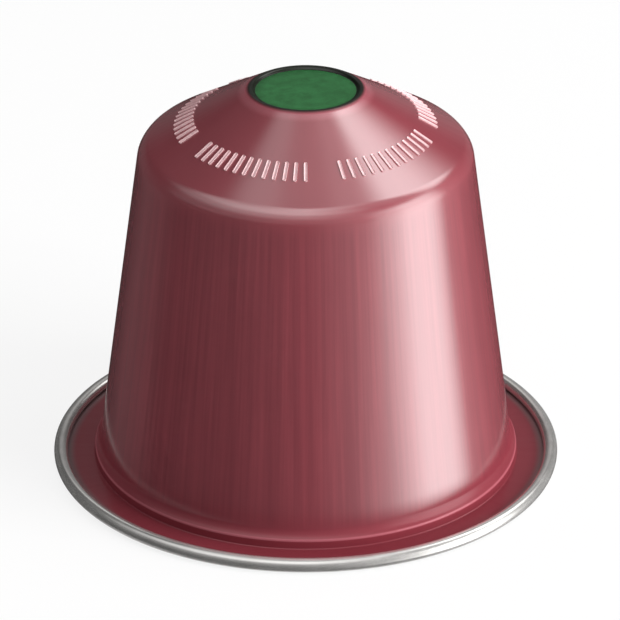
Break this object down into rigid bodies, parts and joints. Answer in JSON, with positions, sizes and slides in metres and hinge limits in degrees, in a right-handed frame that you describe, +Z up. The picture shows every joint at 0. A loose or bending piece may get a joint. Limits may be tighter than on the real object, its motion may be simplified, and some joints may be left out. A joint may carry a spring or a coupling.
{
  "type": "coffee pod",
  "caption": "Sealed aluminium coffee pod: tapered cup with a coned top and pressed-in disc, rolled rim and foil lid, standing lid down.",
  "frame": {"origin": "centre of the lid's face on the table", "axes": "+Z up along the pod's axis, from the lid to the pressed-in disc; +X and +Y level"},
  "size_m": [0.037, 0.037, 0.0292],
  "materials": {
    "cup_lacquer": "satin wine-red lacquer on drawn aluminium",
    "disc_lacquer": "satin green lacquer",
    "bare_aluminium": "bright rolled sheet",
    "lid_foil": "satin sealed foil",
    "print_ink": "pale matt ink"
  },
  "bodies": {
    "root": {"sealed_pod": "cup_lacquer"}
  },
  "joints": []
}
